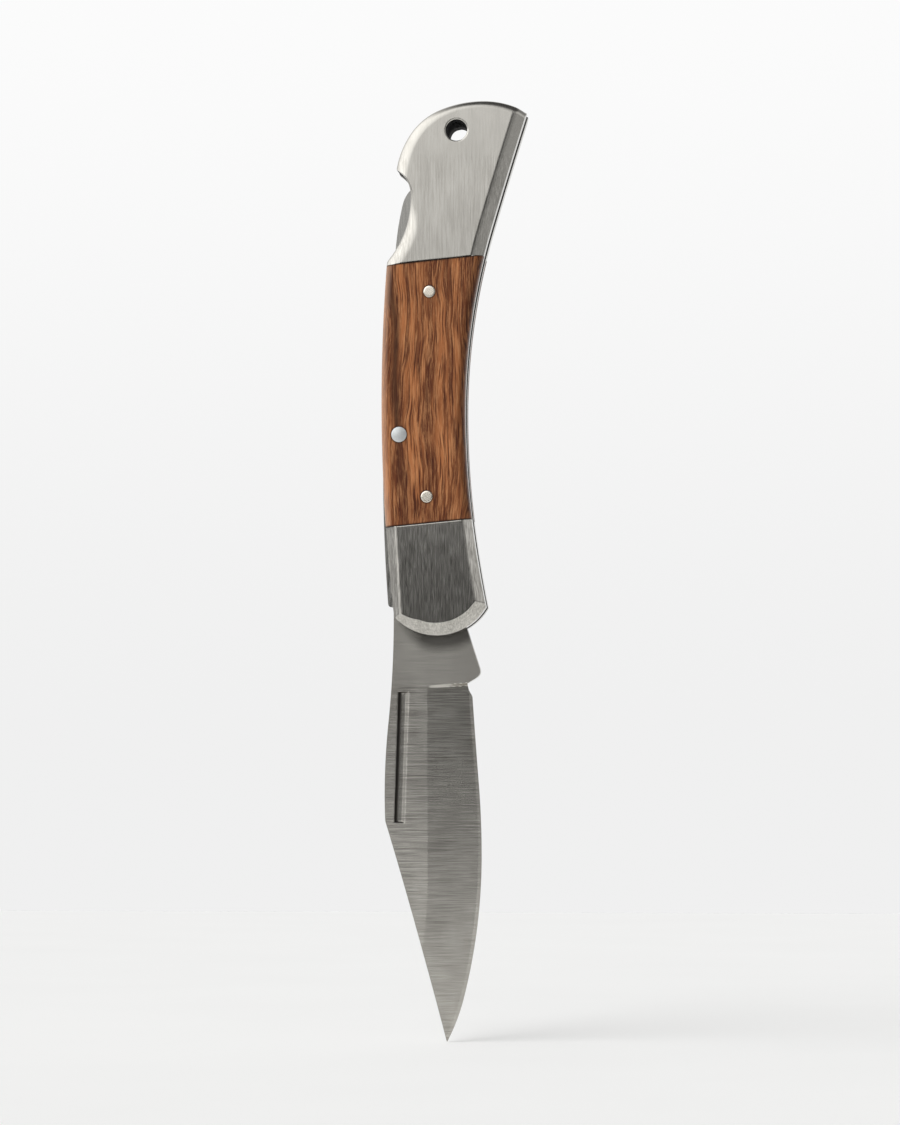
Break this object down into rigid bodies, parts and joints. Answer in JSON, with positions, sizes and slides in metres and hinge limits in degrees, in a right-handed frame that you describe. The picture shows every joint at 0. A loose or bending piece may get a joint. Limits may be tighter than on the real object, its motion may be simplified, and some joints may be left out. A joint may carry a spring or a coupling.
{
  "type": "folding pocket knife",
  "caption": "Lock-back folding pocket knife with a clip-point blade, steel bolsters, wooden scales, a thumb notch on the back and a lanyard hole.",
  "frame": {"origin": "middle of the lanyard hole, halfway through the handle's thickness", "axes": "+Z from the point to the butt along the opened knife, +X to the belly that the blade folds into, +Y from the nail-groove side to the other side"},
  "size_m": [0.0286, 0.0112, 0.1843],
  "materials": {
    "blade": "satin, ground across",
    "lock_bar": "satin",
    "bolster": "satin, brushed lengthwise",
    "liner": "plain",
    "spring": "tempered",
    "spacer": "plain",
    "pivot_pin": "ground level",
    "rocker_pin": "satin, domed",
    "rivet": "plain",
    "scale_pin": "bright, peened",
    "wood": "oiled hardwood, straight grain"
  },
  "bodies": {
    "handle": {"lock_spring": "spring", "butt_spacer": "spacer", "pivot_pin": "pivot_pin", "rocker_pin": "rocker_pin", "butt_rivet_upper": "rivet", "butt_rivet_lower": "rivet", "liner_left": "liner", "front_bolster_left": "bolster", "rear_bolster_left": "bolster", "scale_left": "wood", "scale_pin_left_upper": "scale_pin", "scale_pin_left_lower": "scale_pin", "liner_right": "liner", "front_bolster_right": "bolster", "rear_bolster_right": "bolster", "scale_right": "wood", "scale_pin_right_upper": "scale_pin", "scale_pin_right_lower": "scale_pin"},
    "blade": {"blade": "blade"},
    "lock_bar": {"lock_bar": "lock_bar"}
  },
  "joints": [
    {"name": "blade_pivot", "type": "hinge", "parent": "handle", "child": "blade", "pos_m": [-0.0035, 0, -0.092], "axis": [0, -1, 0], "range_deg": [0, 175]},
    {"name": "lock_bar_rock", "type": "hinge", "parent": "handle", "child": "lock_bar", "pos_m": [-0.0113, 0, -0.06], "axis": [0, 1, 0], "range_deg": [-2.6, 1.8], "stiffness_Nm_per_rad": 2, "deforming": ["lock_spring"]}
  ]
}
